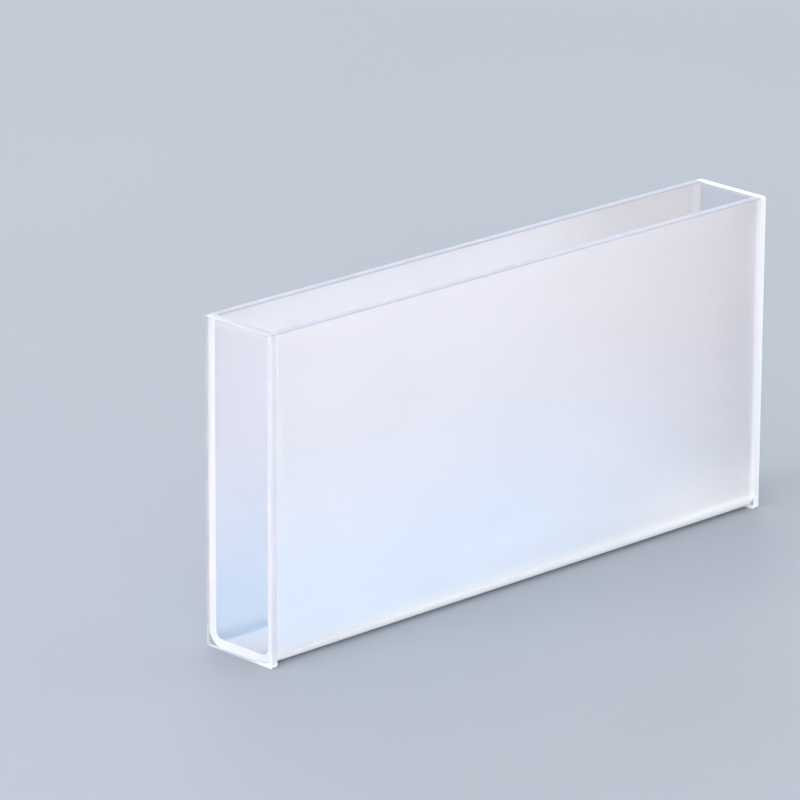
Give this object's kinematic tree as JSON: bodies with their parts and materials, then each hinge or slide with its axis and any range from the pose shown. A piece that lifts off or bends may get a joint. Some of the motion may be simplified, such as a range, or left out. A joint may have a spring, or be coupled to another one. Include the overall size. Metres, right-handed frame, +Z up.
{
  "type": "cuvette",
  "caption": "Long rectangular glass cell, open on top: a U-shaped trough of ground glass, with a clear polished window fused over each end for a light beam.",
  "frame": {"origin": "middle of the base, on the surface that the cell stands on", "axes": "+X along the light path from the left window to the right window, +Y across the cell, +Z up towards the open top"},
  "size_m": [0.0922, 0.0126, 0.045],
  "materials": {
    "ground_glass": "ground, even fine matt white, translucent",
    "clear_glass": "polished clear, with ground white edges"
  },
  "bodies": {
    "root": {"channel": "ground_glass", "left_window": "clear_glass", "right_window": "clear_glass"}
  },
  "joints": []
}
